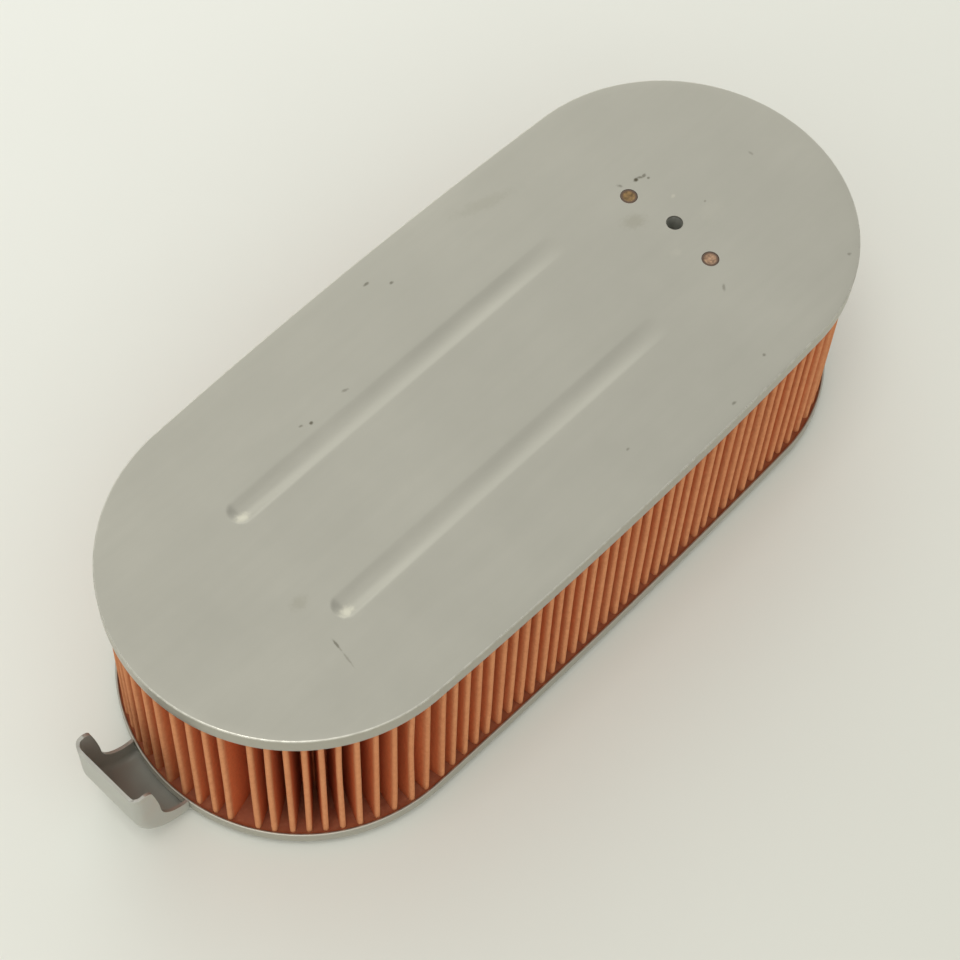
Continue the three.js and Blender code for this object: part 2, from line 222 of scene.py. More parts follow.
def round_edges(obj, width, above=35):
    """Rounds the edges sharper than that many degrees with a small three-step bevel."""
    bevel = obj.modifiers.new("round", "BEVEL")
    bevel.width = width
    bevel.segments = 3
    bevel.limit_method = "ANGLE"
    bevel.angle_limit = math.radians(above)
    settle(obj)


def hand_over(obj, node, material):
    """The finished piece stands for a CAD node, rides on the body and takes its finish."""
    obj.data.materials.clear()
    obj.data.materials.append(material)
    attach(obj, "root")
    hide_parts(node)


def sweep(name, oval, distances, outsets, heights, closed):
    """Carries a section (outset, height) round an oval: one grid row for each section point."""
    points = oval.at(distances[None, :], outsets[:, None], heights[:, None])
    return new_object(name, points, grid_quads(len(outsets), len(distances), closed, True))


def arc_section(centre, radius, start, end, steps):
    """Points of an arc in the section plane, in degrees anticlockwise from outwards to up."""
    angle = np.radians(np.linspace(start, end, steps))
    return centre[0] + radius * np.cos(angle), centre[1] + radius * np.sin(angle)


def joined(*pieces):
    """Strings (outset, height) runs together into one section."""
    outsets = np.concatenate([np.atleast_1d(outset) for outset, _ in pieces])
    heights = np.concatenate([np.atleast_1d(height) for _, height in pieces])
    return outsets, heights


def drum(name, x, y, low, high, radius, steps=64):
    """Closed round bar: two rims of points with a point at the middle of each end."""
    turn = np.arange(steps) * 2 * math.pi / steps
    radii = np.array([0, radius, radius, 0])[:, None]
    heights = np.array([high, high, low, low])[:, None] + 0 * turn
    points = np.stack([x + radii * np.cos(turn), y + radii * np.sin(turn), heights], axis=-1)
    obj = new_object(name, points, grid_quads(4, steps, False, True))
    close_seams(obj)
    return obj


# ---------------------------------------------------------------- top plate
def groove_drop(x, y):
    """How far the face is pressed down at (x, y).

    With r the distance from the groove's middle line over its half width, the drop is
    depth (1 - r²)^1.3 inside it. The depth is greatest at the tab end, falls off as a bell curve
    to an even depth, and fades out over the last stretch at the bolt-hole end.
    """
    drop = np.zeros_like(x)
    for side in GROOVE_SIDES:
        start = GROOVE_FROM + GROOVE_HALF
        end = GROOVE_TO - GROOVE_HALF
        along = np.clip(x, start, end)
        r = np.minimum(np.hypot(x - along, y - side) / GROOVE_HALF, 1)
        fade = np.clip((GROOVE_TO - x) / (30 * MM), 0, 1)
        deeper = GROOVE_DEEPER * np.exp(-(((along - start) / (26 * MM)) ** 2))
        depth = GROOVE_DEPTH * fade * (2 - fade) + deeper
        drop += depth * (1 - r**2) ** 1.3
    return drop


def plate_columns(count):
    """Distances round the top oval, closer together beside the grooves' ends.

    The density of columns is 1 plus a bell curve in x about each groove end; the columns are the
    even steps of its running total, and they mirror about the long axis.
    """
    fine = np.linspace(0, TOP_OVAL.length, 8001)
    x = TOP_OVAL.at(fine[:-1], -35 * MM, 0)[:, 0]
    density = 1 + 0 * x
    for end in (GROOVE_FROM + 2 * MM, GROOVE_TO - 2 * MM):
        density += 1.6 * np.exp(-(((x - end) / (6 * MM)) ** 2))
    total = np.concatenate([[0], np.cumsum(density)])
    half = np.interp(np.linspace(0, total[-1] / 2, count // 2 + 1), total, fine)
    return np.concatenate([half, TOP_OVAL.length - half[-2:0:-1]])


def face_outsets(step):
    """Outsets across the flat face, from the long axis to the bend, closer in the grooves' band."""
    radius = TOP_OVAL.radius
    band_from = 11 * MM
    band_to = 27.5 * MM
    middle = -radius + np.linspace(0, band_from, 8, endpoint=False)
    band = np.arange(-radius + band_from, -radius + band_to, step)
    outer = np.linspace(-radius + band_to, -TOP_BEND, 11, endpoint=False)
    return np.concatenate([middle, band, outer])


def build_top_plate(material):
    """A pan: flat face, quarter-round bend, upright rim with an eased edge, and back underneath.

    A point attribute marks the bend, where handling has polished the plating and a painted highlight lightens
    its colour.
    """
    upper = face_outsets(0.5 * MM)
    under = face_outsets(0.9 * MM)[::-1]
    rim_end = TOP - TOP_RIM
    ease = 0.25 * MM
    crease = 0.1 * MM
    bend_steps = 9
    outsets, heights = joined(
        (upper, np.full(len(upper), TOP)),
        arc_section((-TOP_BEND, TOP - TOP_BEND), TOP_BEND, 90, 0, bend_steps),
        (0, TOP - TOP_BEND - 0.2 * MM),
        (0, rim_end + 2 * MM),
        arc_section((-ease, rim_end + ease), ease, 0, -90, 4),
        arc_section((-SHEET + ease, rim_end + ease), ease, -90, -180, 4),
        (-SHEET, rim_end + 2 * MM),
        arc_section((-SHEET - crease, TOP - SHEET - crease), crease, 0, 90, 3),
        (under, np.full(len(under), TOP - SHEET)),
    )
    points = TOP_OVAL.at(plate_columns(680)[None, :], outsets[:, None], heights[:, None])
    points[..., 2] -= groove_drop(points[..., 0], points[..., 1])
    points[0, :, 1] = 0
    points[-1, :, 1] = 0
    plate = new_object("filter_top_plate", points, grid_quads(*points.shape[:2], False, True))
    wear_and_highlight = np.zeros(points.shape[:2])
    wear_and_highlight[len(upper) + 1:len(upper) + bend_steps] = 1
    plate.data.attributes.new("wear_and_highlight", "FLOAT", "POINT").data.foreach_set("value", wear_and_highlight.ravel())
    close_seams(plate)
    low = TOP - 3 * MM
    high = TOP + 3 * MM
    carve(plate, drum("bolt_hole", HOLE_X, HOLE_Y, low, high, HOLE_RADIUS))
    for side in (1, -1):
        y = HOLE_Y + side * WELD_SPREAD
        carve(plate, drum("weld_seat", WELD_X, y, low, high, WELD_RADIUS + 0.04 * MM))
    smooth(plate)
    hand_over(plate, "top_plate", material)


# ---------------------------------------------------------------- bottom plate
def build_bottom_plate(material):
    """A ring with a turned-up lip outside and a collar round the outlet inside, both eased."""
    inside = OUTLET_END - BASE_OVAL.radius
    ease = 0.3 * MM
    inner_bend = BEND - SHEET
    collar_top = BASE + COLLAR
    outsets, heights = joined(
        arc_section((-ease, LIP_TOP - ease), ease, 90, 0, 4),
        arc_section((-BEND, BASE + BEND), BEND, 0, -90, 8),
        arc_section((inside + BEND, BASE + BEND), BEND, -90, -180, 8),
        arc_section((inside + ease, collar_top - ease), ease, 180, 90, 4),
        arc_section((inside + SHEET - ease, collar_top - ease), ease, 90, 0, 4),
        arc_section((inside + BEND, BASE + BEND), inner_bend, 180, 270, 5),
        arc_section((-BEND, BASE + BEND), inner_bend, -90, 0, 5),
        arc_section((-SHEET + ease, LIP_TOP - ease), ease, 180, 90, 4),
    )
    ring = sweep("filter_bottom_plate", BASE_OVAL, BASE_OVAL.even(560), outsets, heights, True)
    close_seams(ring)
    smooth(ring)
    hand_over(ring, "bottom_plate", material)


# ---------------------------------------------------------------- pleated paper
def fold_places():
    """Distances of the outward folds round the paper, from the seam once round to the seam.

    The spacing is a base pitch plus bell curves where the folds stand looser, on the ends and on
    the far side. The folds sit at the even steps of the running count, each a little out of line.
    """
    end = PAPER_OVAL.length + SEAM_FROM
    fine = np.linspace(SEAM_TO, end, 6001)
    once_round = PAPER_OVAL.length / MM
    looser = [(44, 0.24, 16), (75, 1.13, 14.6), (256, 1.4, 8), (440, 0.6, 110), (once_round + 3, 1.1, 13)]
    pitch = np.full(len(fine), 4.67)
    for place, extra, spread in looser:
        pitch += extra * np.exp(-(((fine / MM - place) / spread) ** 2))
    count = np.concatenate([[0], np.cumsum(1 / ((pitch[1:] + pitch[:-1]) / 2))])
    places = np.interp(np.linspace(0, count[-1], FOLDS), count, fine)
    places[1:-1] += chance.normal(0, 0.16 * MM, FOLDS - 2)
    return places


def build_paper(material, low, high):
    """The folded band: a wall of even thickness along a zigzag path with rounded folds.

    One fold's path is a half circle at the tip, a straight flank in, a half circle in the valley
    and a straight flank out. The wall's inner side is that path moved along its own normal. Each
    flank also bends a little with height: sideways by a sine of the height with its own phase.
    """
    tips = fold_places()
    after = np.append(tips[1:], PAPER_OVAL.length + SEAM_TO)
    set_back = chance.uniform(0, 0.45 * MM, FOLDS)
    turn = np.radians(np.linspace(-90, 90, 9))
    valley_turn = np.radians(np.linspace(-75, 75, 5))
    flank = np.array([0.12, 0.36, 0.62, 0.86])
    reach = FOLD_DEPTH - VALLEY_RADIUS

    def fold_path(wall):
        """Distance and depth of the path, fold by fold, with its folds' radii changed by the wall."""
        tip_radius = TIP_RADIUS - wall
        valley_radius = VALLEY_RADIUS + wall
        tip_s = tips[:, None] + tip_radius * np.sin(turn)
        tip_d = set_back[:, None] + TIP_RADIUS - tip_radius * np.cos(turn)
        middle = (tips + after)[:, None] / 2
        valley_s = middle + valley_radius * np.sin(valley_turn)
        valley_d = reach + valley_radius * np.cos(valley_turn) + 0 * middle
        down_s = tip_s[:, -1:] + (valley_s[:, :1] - tip_s[:, -1:]) * flank
        down_d = tip_d[:, -1:] + (valley_d[:, :1] - tip_d[:, -1:]) * flank
        next_s = np.append(tip_s[1:, :1], [[PAPER_OVAL.length + tip_s[0, 0]]], axis=0)
        next_d = np.roll(tip_d[:, :1], -1, axis=0)
        up_s = valley_s[:, -1:] + (next_s - valley_s[:, -1:]) * flank
        up_d = valley_d[:, -1:] + (next_d - valley_d[:, -1:]) * flank
        along = np.concatenate([tip_s, down_s, valley_s, up_s], axis=1)
        depth = np.concatenate([tip_d, down_d, valley_d, up_d], axis=1)
        return along.ravel(), depth.ravel()

    per_fold = len(turn) + len(valley_turn) + 2 * len(flank)
    heights = np.linspace(low, high, 9)
    share = np.linspace(0, 1, len(heights))[:, None]
    bend = np.sin(math.pi * share)
    phase = np.repeat(chance.uniform(0, 2 * math.pi, FOLDS), per_fold)
    swing = np.repeat(chance.normal(0, 0.16 * MM, FOLDS), per_fold)
    lean = np.repeat(chance.normal(0, 0.14 * MM, FOLDS), per_fold)
    sideways = bend * swing * (1 + 0.5 * np.sin(5 * share + phase)) + lean * (share - 0.5)
    rows = []
    for wall, row_order in ((0, slice(None, None, -1)), (PAPER_WALL, slice(None))):
        along, depth = fold_path(wall)
        points = PAPER_OVAL.at(along + sideways, FLARE * (1 - share) - depth[None, :], heights[:, None])
        rows.append(points[row_order])
    points = np.concatenate(rows)
    paper = new_object("filter_pleats", points, grid_quads(*points.shape[:2], True, True))
    smooth(paper, 60)

    depth_outside = fold_path(0)[1] / FOLD_DEPTH
    shade = np.tile(depth_outside, len(points))
    paper.data.attributes.new("depth", "FLOAT", "POINT").data.foreach_set("value", shade)
    tint = np.tile(np.repeat(chance.uniform(0, 1, FOLDS), per_fold), len(points))
    paper.data.attributes.new("tint", "FLOAT", "POINT").data.foreach_set("value", tint)
    hand_over(paper, "filter_paper", material)


# ---------------------------------------------------------------- adhesive beds
def build_bed(name, node, oval, level, back, up, material):
    """A cast ring whose open surface ripples and climbs the walls beside it.

    Its surface height is level + up (climb (e^-u + e^-v) + ripple), where u and v are the
    distances from the outer and inner walls, and the ripple is a sum of sines round the oval.
    """
    distances = oval.even(560)
    outer = -SHEET - 0.05 * MM
    inner = -(oval.radius - BED_INNER)
    across = outer + (inner - outer) * np.linspace(0, 1, 22) ** 1.3
    climb_reach = 0.7 * MM
    u = (outer - across) / climb_reach
    v = (across - inner) / climb_reach
    climb = climb_reach * (np.exp(-u) + np.exp(-v))
    turn = distances * 2 * math.pi / oval.length
    ripple = 0.08 * MM * (np.sin(23 * turn + 1) + np.sin(57 * turn + 2) * np.cos(9 * turn))
    surface = level + up * (climb[:, None] + ripple[None, :])
    top = oval.at(distances[None, :], across[:, None], surface)
    under = oval.at(distances[None, :], np.array([inner, outer])[:, None], back)
    points = np.concatenate([top, under])
    if up < 0:
        points = points[::-1]
    bed = new_object(name, points, grid_quads(*points.shape[:2], True, True))
    smooth(bed)
    hand_over(bed, node, material)


# ---------------------------------------------------------------- inner screen
def build_screen(material, low, high):
    """Perforated sheet: rows of round holes, each other row half a step along.

    Every cell is a ring of quads from its hole's circle to its square border, and Solidify gives
    the sheet its wall.
    """
    outset = SCREEN_RADIUS - PAPER_OVAL.radius
    columns, rows = 126, 15
    corners = 8
    hole_share = 0.31
    step = PAPER_OVAL.length / columns
    lift = (high - low) / rows
    angle = np.arange(corners) * 2 * math.pi / corners
    circle = np.stack([np.cos(angle), np.sin(angle)], axis=-1) * hole_share
    square = np.stack([np.cos(angle), np.sin(angle)], axis=-1)
    square = 0.5 * square / np.abs(square).max(axis=1, keepdims=True)
    ring = np.stack([circle, square])
    column, row = np.meshgrid(np.arange(columns), np.arange(rows), indexing="ij")
    middle = np.stack([column + 0.5 * (row % 2), row + 0.5], axis=-1).reshape(-1, 1, 1, 2)
    spots = middle + ring[None]
    points = PAPER_OVAL.at(spots[..., 0] * step, outset, low + spots[..., 1] * lift)
    cell = grid_quads(2, corners, False, True)
    first_points = 2 * corners * np.arange(columns * rows)
    quads = (cell[None] + first_points[:, None, None]).reshape(-1, 4)
    screen = new_object("filter_screen", points, quads)
    close_seams(screen)
    wall = screen.modifiers.new("wall", "SOLIDIFY")
    wall.thickness = SCREEN_WALL
    wall.offset = -1
    settle(screen)
    smooth(screen, 50)
    hand_over(screen, "inner_screen", material)


# ---------------------------------------------------------------- gasket
def build_gasket(material):
    """A foam ring with rounded edges."""
    outer = -(BASE_OVAL.radius - GASKET_OUTER)
    inner = -(BASE_OVAL.radius - GASKET_INNER)
    low, high = gasket_low[2], gasket_high[2]
    ease = 0.6 * MM
    outsets, heights = joined(
        arc_section((outer - ease, high - ease), ease, 90, 0, 5),
        arc_section((outer - ease, low + ease), ease, 0, -90, 5),
        arc_section((inner + ease, low + ease), ease, -90, -180, 5),
        arc_section((inner + ease, high - ease), ease, 180, 90, 5),
    )
    gasket = sweep("filter_gasket", BASE_OVAL, BASE_OVAL.even(420), outsets, heights, True)
    smooth(gasket, 50)
    hand_over(gasket, "base_gasket", material)


# ---------------------------------------------------------------- latch tab
def tab_section(inset, flange, width, corner):
    """Half outlines of the channel from its middle to a flange tip: across and depth, by station."""
    half = width / 2 - inset
    radius = corner - inset
    turn = np.linspace(0, math.pi / 2, 7)
    flat = np.linspace(0, 1, 6, endpoint=False) * (half - radius)
    wall = np.linspace(0.25, 1, 4)
    across = np.concatenate([flat, half - radius + radius * np.sin(turn), np.full(4, half)])
    floor = np.concatenate([0 * flat, radius * (1 - np.cos(turn))])
    side = radius + (flange[:, None] - inset - radius) * wall
    depth = np.concatenate([np.tile(floor, (len(flange), 1)), side], axis=1)
    return np.broadcast_to(across, depth.shape), depth + inset


def build_tab(material):
    """A channel carried along a path: under the plate, round a quarter ellipse, and up a wall.

    The path's bend is (x, z) = (start - rx sin t, top - rz cos t). The flanges keep their height
    round the bend and shrink up the wall, and the wall's top edge rises into an ear at each side.
    """
    width = tab_high[1] - tab_low[1]
    reach = tab_low[0]
    floor = tab_low[2]
    tongue = tab_high[0]
    tongue_steps = 5
    bend_start = reach + TAB_BEND
    bend_top = TAB_BEND_TOP
    wall_top = tab_high[2] - EAR_RISE
    t = np.linspace(0, math.pi / 2, 25)
    slope = np.hypot(np.sin(t) / (bend_start - reach), np.cos(t) / (bend_top - floor))
    climb = np.linspace(0, 1, 21)[1:]
    x = np.concatenate([
        np.linspace(tongue, bend_start, tongue_steps, endpoint=False),
        bend_start - (bend_start - reach) * np.sin(t),
        np.full(len(climb), reach),
    ])
    z = np.concatenate([
        np.full(tongue_steps, floor),
        bend_top - (bend_top - floor) * np.cos(t),
        bend_top + (wall_top - bend_top) * climb,
    ])
    across_bend = np.sin(t) / (bend_start - reach) / slope
    up_bend = np.cos(t) / (bend_top - floor) / slope
    nx = np.concatenate([np.zeros(tongue_steps), across_bend, np.ones(len(climb))])
    nz = np.concatenate([np.ones(tongue_steps), up_bend, np.zeros(len(climb))])
    wall = np.concatenate([np.zeros(tongue_steps + len(t)), climb])
    into_round = np.clip(EAR_ROUND - (1 - wall) * (wall_top - bend_top), 0, EAR_ROUND)
    into_round[wall == 0] = 0
    short_of_flat = 0.97
    corner_height = np.sqrt(EAR_ROUND**2 - (short_of_flat * into_round) ** 2)
    flange = TAB_FLANGE - TAB_FLANGE_LOSS * wall**1.5 - EAR_ROUND + corner_height
    out_across, out_depth = tab_section(0, flange, width, TAB_CORNER)
    in_across, in_depth = tab_section(TAB_SHEET, flange, width, TAB_CORNER)
    across = np.concatenate(
        [-out_across[:, :0:-1], out_across, in_across[:, ::-1], -in_across[:, 1:]], axis=1
    )
    depth = np.concatenate([out_depth[:, :0:-1], out_depth, in_depth[:, ::-1], in_depth[:, 1:]], axis=1)
    ear_start, ear_span = 0.7, 0.3
    side = np.clip((np.abs(across) * 2 / width - ear_start) / ear_span, 0, 1)
    rise = EAR_RISE * wall[:, None] * side**2 * (3 - 2 * side)
    points = np.stack([
        x[:, None] + nx[:, None] * depth,
        TAB_MIDDLE + across,
        z[:, None] + nz[:, None] * depth + rise,
    ], axis=-1)
    count = points.shape[1]
    near = np.arange(count // 2 - 1)
    far = count - 1 - near
    first_cap = np.stack([near, near + 1, far - 1, far], axis=-1)
    last_cap = (len(x) - 1) * count + first_cap[:, ::-1]
    quads = np.concatenate([grid_quads(len(x), count, False, True), first_cap, last_cap])
    tab = new_object("filter_latch_tab", points, quads)
    shell = bmesh.new()
    shell.from_mesh(tab.data)
    bmesh.ops.recalc_face_normals(shell, faces=shell.faces)
    shell.to_mesh(tab.data)
    shell.free()
    under = BASE - 0.1 * MM
    outsets = np.array([0.15, 0.15, -20, -20]) * MM
    heights = np.array([TOP, under, under, TOP])
    carve(tab, sweep("lip_space", BASE_OVAL, BASE_OVAL.even(480), outsets, heights, True))
    round_edges(tab, 0.4 * MM)
    smooth(tab, 45)
    hand_over(tab, "latch_tab", material)


# ---------------------------------------------------------------- welds, flange and sleeve
def turned(x, y, profile, steps=72):
    """A profile of (radius, height) turned about an upright axis."""
    radii, heights = np.array(profile).T
    turn = np.arange(steps) * 2 * math.pi / steps
    radii = radii[:, None] + 0 * turn
    return np.stack([
        x + radii * np.cos(turn),
        y + radii * np.sin(turn),
        heights[:, None] + 0 * turn,
    ], axis=-1)


def build_weld(name, node, x, y, top, bottom, seed, material):
    """A spot weld: a shallow dish with a raised ring inside its edge and a pitted middle.

    Height = top - dish (1 - r²) + ring bell(r) + pits, with r from 0 at the middle to 1 at the
    edge; the pits are a product of sines that fades out towards the ring.
    """
    share = np.array([0, 0.12, 0.25, 0.38, 0.5, 0.6, 0.7, 0.78, 0.85, 0.91, 0.96, 1.0])
    dish = -0.16 * MM * (1 - share**2) + 0.1 * MM * np.exp(-(((share - 0.8) / 0.1) ** 2))
    dish[-1] -= 0.12 * MM
    profile = list(zip(share * WELD_RADIUS, top + dish)) + [(WELD_RADIUS, bottom), (0, bottom)]
    points = turned(x, y, profile)
    px = (points[..., 0] - x) / MM
    py = (points[..., 1] - y) / MM
    fade = np.clip(1 - np.hypot(px, py) / 1.9, 0, 1)
    pits = np.sin(4.1 * px + seed) * np.sin(3.7 * py + 2 * seed) + np.sin(2.3 * (px + py) + 3 * seed)
    rings = len(share)
    points[:rings, :, 2] += 0.045 * MM * (fade * pits)[:rings]
    weld = new_object(name, points, grid_quads(*points.shape[:2], False, True))
    close_seams(weld)
    smooth(weld, 50)
    hand_over(weld, node, material)


def build_sleeve(material):
    """The tube under the bolt hole, with chamfered ends."""
    low, high = sleeve_low[2], TOP - SHEET
    inner, outer, ease = 2.8 * MM, 4.6 * MM, 0.35 * MM
    profile = [
        (inner, low + ease), (inner, high - ease), (inner + ease, high), (outer - ease, high),
        (outer, high - ease), (outer, low + ease), (outer - ease, low), (inner + ease, low),
    ]
    points = turned(HOLE_X, HOLE_Y, profile[::-1])
    sleeve = new_object("filter_sleeve", points, grid_quads(*points.shape[:2], True, True))
    smooth(sleeve)
    hand_over(sleeve, "bolt_sleeve", material)


# ---------------------------------------------------------------- material helpers
def node(tree, kind, **values):
    """A shader node with its properties and its unlinked inputs set by name."""
    made = tree.nodes.new(kind)
    for name, value in values.items():
        if hasattr(made, name):
            setattr(made, name, value)
        else:
            made.inputs[name.replace("_", " ")].default_value = value
    return made


def group_with(name, inputs, outputs):
    """An empty node group with named sockets, and its input and output nodes."""
    tree = bpy.data.node_groups.new(name, "ShaderNodeTree")
    for label, kind, value in inputs:
        socket = tree.interface.new_socket(label, in_out="INPUT", socket_type=kind)
        if value is not None:
            socket.default_value = value
    for label, kind in outputs:
        tree.interface.new_socket(label, in_out="OUTPUT", socket_type=kind)
    return tree, tree.nodes.new("NodeGroupInput"), tree.nodes.new("NodeGroupOutput")


def use(tree, group, **values):
    """Places a node group in a material with its own values."""
    made = tree.nodes.new("ShaderNodeGroup")
    made.node_tree = group
    for name, value in values.items():
        made.inputs[name.replace("_", " ")].default_value = value
    return made


def material_with(name):
    """A material with its Principled shader and Object coordinates."""
    made = bpy.data.materials.new(name)
    made.use_nodes = True
    tree = made.node_tree
    shader = tree.nodes["Principled BSDF"]
    place = tree.nodes.new("ShaderNodeTexCoord").outputs["Object"]
    return made, tree, shader, place


def mix_colours(tree, factor, first, second, blend="MIX"):
    """Mixes two colours, each a socket or a fixed colour, and returns the result socket."""
    mix = node(tree, "ShaderNodeMix", data_type="RGBA", blend_type=blend)
    for index, value in ((0, factor), (6, first), (7, second)):
        if isinstance(value, bpy.types.NodeSocket):
            tree.links.new(value, mix.inputs[index])
        else:
            mix.inputs[index].default_value = value
    return mix.outputs[2]


def remap(tree, value, low, high, to_low=0.0, to_high=1.0, smooth_step=False):
    """Maps a value from one range to another, clamped."""
    ramp = node(tree, "ShaderNodeMapRange")
    ramp.interpolation_type = "SMOOTHSTEP" if smooth_step else "LINEAR"
    tree.links.new(value, ramp.inputs[0])
    for index, number in ((1, low), (2, high), (3, to_low), (4, to_high)):
        ramp.inputs[index].default_value = number
    return ramp.outputs[0]


def combine(tree, operation, first, second):
    """A maths node on two values, each a socket or a number."""
    maths = node(tree, "ShaderNodeMath", operation=operation)
    for index, value in ((0, first), (1, second)):
        if isinstance(value, bpy.types.NodeSocket):
            tree.links.new(value, maths.inputs[index])
        else:
            maths.inputs[index].default_value = value
    return maths.outputs[0]


def raise_surface(tree, shader, height, distance, strength):
    """Feeds a height to the shader's normal."""
    bump = node(tree, "ShaderNodeBump", Distance=distance, Strength=strength)
    tree.links.new(height, bump.inputs["Height"])
    tree.links.new(bump.outputs[0], shader.inputs["Normal"])


# ---------------------------------------------------------------- shared effects
def make_cloud():
    """Soft patches: fractal noise spread to the range 0 to 1."""
    tree, start, end = group_with(
        "cloud",
        [("Vector", "NodeSocketVector", None), ("Scale", "NodeSocketFloat", 40.0),
         ("Stretch", "NodeSocketVector", (1, 1, 1))],
        [("Value", "NodeSocketFloat")],
    )
    stretch = node(tree, "ShaderNodeVectorMath", operation="MULTIPLY")
    tree.links.new(start.outputs["Vector"], stretch.inputs[0])
    tree.links.new(start.outputs["Stretch"], stretch.inputs[1])
    noise = node(tree, "ShaderNodeTexNoise", Detail=5.0, Roughness=0.6)
    tree.links.new(stretch.outputs[0], noise.inputs["Vector"])
    tree.links.new(start.outputs["Scale"], noise.inputs["Scale"])
    tree.links.new(remap(tree, noise.outputs["Fac"], 0.3, 0.7), end.inputs["Value"])
    return tree


def make_specks():
    """Sparse small marks: the near middles of scattered cells, broken up by noise."""
    tree, start, end = group_with(
        "specks",
        [("Vector", "NodeSocketVector", None), ("Scale", "NodeSocketFloat", 100.0),
         ("Size", "NodeSocketFloat", 0.1)],
        [("Mask", "NodeSocketFloat")],
    )
    cells = node(tree, "ShaderNodeTexVoronoi", feature="F1", Randomness=1.0)
    tree.links.new(start.outputs["Vector"], cells.inputs["Vector"])
    tree.links.new(start.outputs["Scale"], cells.inputs["Scale"])
    picked = node(tree, "ShaderNodeSeparateColor")
    tree.links.new(cells.outputs["Color"], picked.inputs[0])
    size = combine(tree, "MULTIPLY", picked.outputs[0], start.outputs["Size"])
    near = combine(tree, "LESS_THAN", cells.outputs["Distance"], size)
    rare = combine(tree, "GREATER_THAN", picked.outputs[1], 0.8)
    tree.links.new(combine(tree, "MULTIPLY", near, rare), end.inputs["Mask"])
    return tree


def make_smudge():
    """One soft oval mark at a place: 1 at its centre, 0 beyond its reach, ragged by noise."""
    tree, start, end = group_with(
        "smudge",
        [("Vector", "NodeSocketVector", None), ("Centre", "NodeSocketVector", (0, 0, 0)),
         ("Spread", "NodeSocketVector", (1, 1, 1)), ("Turn", "NodeSocketFloat", 0.0),
         ("Strength", "NodeSocketFloat", 1.0)],
        [("Mask", "NodeSocketFloat")],
    )
    noise = node(tree, "ShaderNodeTexNoise", Scale=900.0, Detail=3.0)
    tree.links.new(start.outputs["Vector"], noise.inputs["Vector"])
    offset = node(tree, "ShaderNodeVectorMath", operation="SUBTRACT")
    tree.links.new(start.outputs["Vector"], offset.inputs[0])
    tree.links.new(start.outputs["Centre"], offset.inputs[1])
    turn = node(tree, "ShaderNodeVectorRotate", rotation_type="Z_AXIS")
    tree.links.new(offset.outputs[0], turn.inputs["Vector"])
    tree.links.new(start.outputs["Turn"], turn.inputs["Angle"])
    scaled = node(tree, "ShaderNodeVectorMath", operation="DIVIDE")
    tree.links.new(turn.outputs[0], scaled.inputs[0])
    tree.links.new(start.outputs["Spread"], scaled.inputs[1])
    length = node(tree, "ShaderNodeVectorMath", operation="LENGTH")
    tree.links.new(scaled.outputs[0], length.inputs[0])
    ragged = combine(tree, "ADD", length.outputs["Value"], noise.outputs["Fac"])
    fade = remap(tree, ragged, 0.7, 1.5, 1.0, 0.0, True)
    tree.links.new(combine(tree, "MULTIPLY", fade, start.outputs["Strength"]), end.inputs["Mask"])
    return tree


cloud = make_cloud()
specks = make_specks()
smudge = make_smudge()


def marked(tree, place, colour, marks, tone):
    """Darkens or tints a colour at each listed mark: x, y, length, width, turn, strength."""
    for x, y, length, width, turn, strength in marks:
        mask = use(
            tree, smudge,
            Centre=(PLATE_X + x * MM, y * MM, TOP),
            Spread=(length * MM, width * MM, 20 * MM),
            Turn=math.radians(turn),
            Strength=strength,
        )
        tree.links.new(place, mask.inputs["Vector"])
        colour = mix_colours(tree, mask.outputs[0], colour, tone)
    return colour


